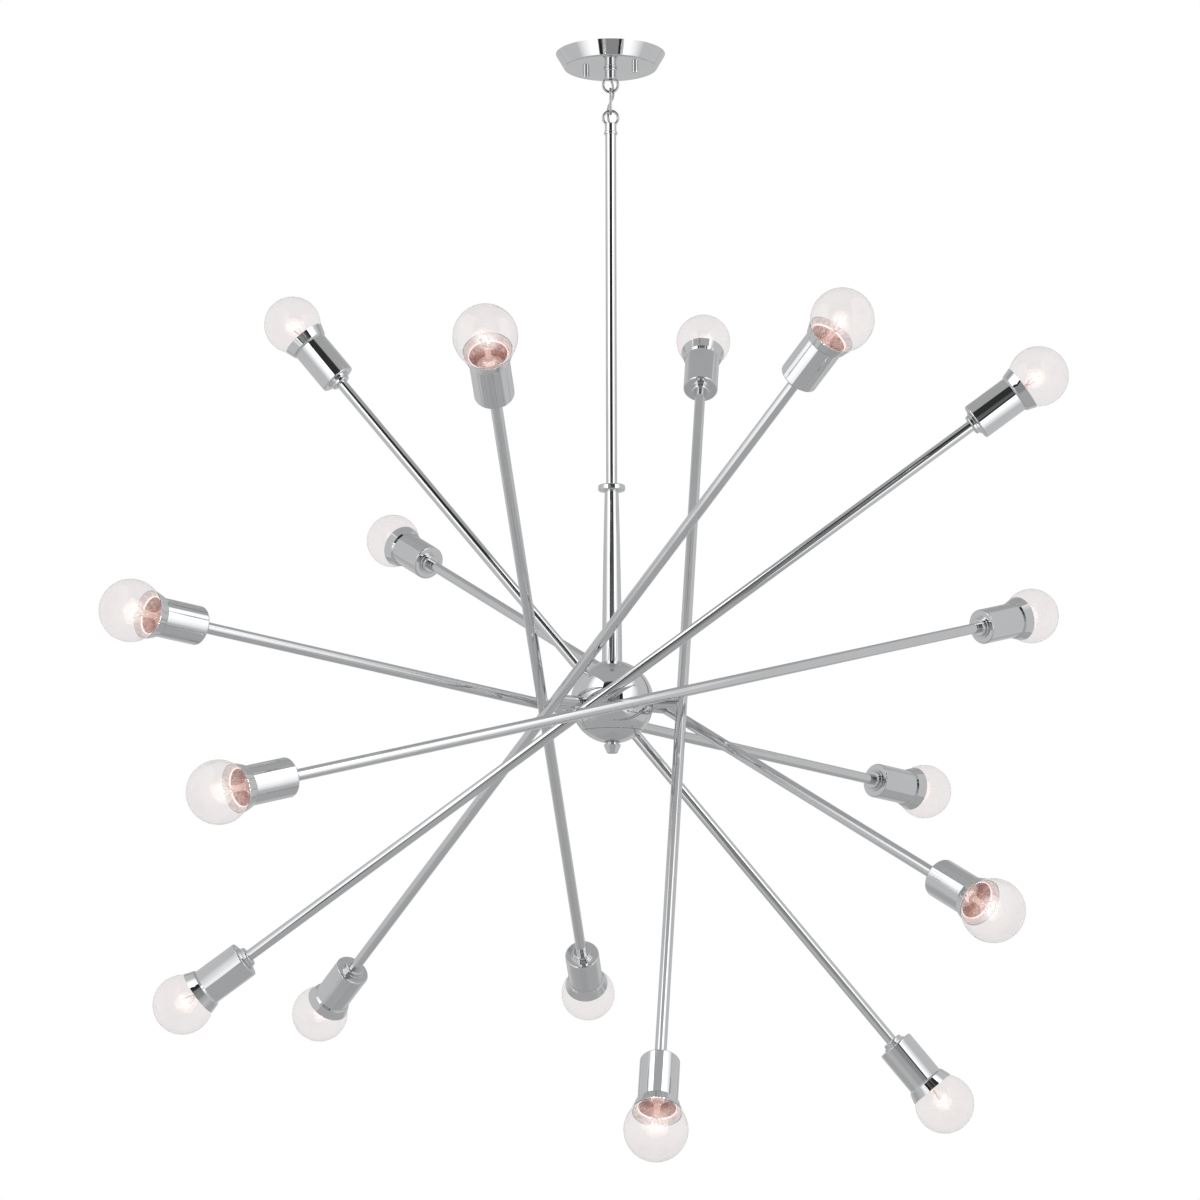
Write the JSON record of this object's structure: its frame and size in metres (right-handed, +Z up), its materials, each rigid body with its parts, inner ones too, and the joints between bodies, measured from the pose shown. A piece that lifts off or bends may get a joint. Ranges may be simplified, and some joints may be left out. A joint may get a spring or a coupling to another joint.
{
  "type": "sputnik chandelier",
  "caption": "Polished chrome sputnik chandelier hung from a round ceiling canopy by a chain link, with straight swivelling rods round a ball hub and a globe bulb at each rod end.",
  "frame": {"origin": "centre of the ceiling box slots, on the mounting strap's top face, which lies in the ceiling's plane on the canopy's axis", "axes": "+Z up into the ceiling, +X along the mounting strap; the light hangs towards -Z"},
  "size_m": [0.9655, 1.063, 1.2114],
  "materials": {
    "chrome": "polished chrome plate",
    "steel": "zinc-plated steel",
    "brass": "plain turned brass",
    "lead": "clear jacket over tinned wires",
    "lampholder": "glazed white lampholder",
    "bulb_glass": "clear glass"
  },
  "bodies": {
    "root": {"mounting_strap": "steel", "canopy_studs": "steel", "canopy_knobs": "chrome", "canopy_nipple": "brass", "nipple_nuts": "brass", "canopy": "chrome", "canopy_loop": "chrome", "canopy_lead": "lead"},
    "link": {"chain_link": "chrome", "link_lead": "lead"},
    "stem": {"stem_loop": "chrome", "stem_tube": "chrome", "stem_collar": "chrome", "stem_sleeve": "chrome", "hub_shell": "chrome", "hub_cap": "chrome", "hub_finial": "chrome", "hub_pipe": "brass", "hub_nut": "brass", "stem_lead": "lead"},
    "arm_1": {"arm_1_rod": "chrome", "arm_1_cups": "chrome", "arm_1_fittings": "chrome", "arm_1_lampholders": "lampholder", "arm_1_bulbs": "bulb_glass"},
    "arm_2": {"arm_2_rod": "chrome", "arm_2_cups": "chrome", "arm_2_fittings": "chrome", "arm_2_lampholders": "lampholder", "arm_2_bulbs": "bulb_glass"},
    "arm_3": {"arm_3_rod": "chrome", "arm_3_cups": "chrome", "arm_3_fittings": "chrome", "arm_3_lampholders": "lampholder", "arm_3_bulbs": "bulb_glass"},
    "arm_4": {"arm_4_rod": "chrome", "arm_4_cups": "chrome", "arm_4_fittings": "chrome", "arm_4_lampholders": "lampholder", "arm_4_bulbs": "bulb_glass"},
    "arm_5": {"arm_5_rod": "chrome", "arm_5_cups": "chrome", "arm_5_fittings": "chrome", "arm_5_lampholders": "lampholder", "arm_5_bulbs": "bulb_glass"},
    "arm_6": {"arm_6_rod": "chrome", "arm_6_cups": "chrome", "arm_6_fittings": "chrome", "arm_6_lampholders": "lampholder", "arm_6_bulbs": "bulb_glass"},
    "arm_7": {"arm_7_rod": "chrome", "arm_7_cups": "chrome", "arm_7_fittings": "chrome", "arm_7_lampholders": "lampholder", "arm_7_bulbs": "bulb_glass"},
    "arm_8": {"arm_8_rod": "chrome", "arm_8_cups": "chrome", "arm_8_fittings": "chrome", "arm_8_lampholders": "lampholder", "arm_8_bulbs": "bulb_glass"}
  },
  "joints": [
    {"name": "canopy_link_swing", "type": "hinge", "parent": "root", "child": "link", "pos_m": [0, 0, -0.0433], "axis": [0.9511, 0.309, 0], "range_deg": [-15, 15]},
    {"name": "link_stem_swing", "type": "hinge", "parent": "link", "child": "stem", "pos_m": [0, 0, -0.068], "axis": [-0.309, 0.9511, 0], "range_deg": [-15, 15]},
    {"name": "arm_1_swivel", "type": "hinge", "parent": "stem", "child": "arm_1", "pos_m": [0, 0, -0.7247], "axis": [0.9781, 0.2079, 0], "range_deg": [-25, 15]},
    {"name": "arm_2_swivel", "type": "hinge", "parent": "stem", "child": "arm_2", "pos_m": [0, 0, -0.7247], "axis": [0.5446, 0.8387, 0], "range_deg": [-10, 44]},
    {"name": "arm_3_swivel", "type": "hinge", "parent": "stem", "child": "arm_3", "pos_m": [0, 0, -0.7247], "axis": [-0.2504, 0.9681, 0], "range_deg": [-20.5, 19.5]},
    {"name": "arm_4_swivel", "type": "hinge", "parent": "stem", "child": "arm_4", "pos_m": [0, 0, -0.7247], "axis": [-0.8526, 0.5225, 0], "range_deg": [-4, 64]},
    {"name": "arm_5_swivel", "type": "hinge", "parent": "stem", "child": "arm_5", "pos_m": [0, 0, -0.7247], "axis": [-0.9763, -0.2164, 0], "range_deg": [-5, 38]},
    {"name": "arm_6_swivel", "type": "hinge", "parent": "stem", "child": "arm_6", "pos_m": [0, 0, -0.7247], "axis": [-0.5592, -0.829, 0], "range_deg": [-15.5, 34.5]},
    {"name": "arm_7_swivel", "type": "hinge", "parent": "stem", "child": "arm_7", "pos_m": [0, 0, -0.7247], "axis": [0.1822, -0.9833, 0], "range_deg": [-15.5, 34.5]},
    {"name": "arm_8_swivel", "type": "hinge", "parent": "stem", "child": "arm_8", "pos_m": [0, 0, -0.7247], "axis": [0.8241, -0.5664, 0], "range_deg": [-1.5, 56.5]}
  ]
}
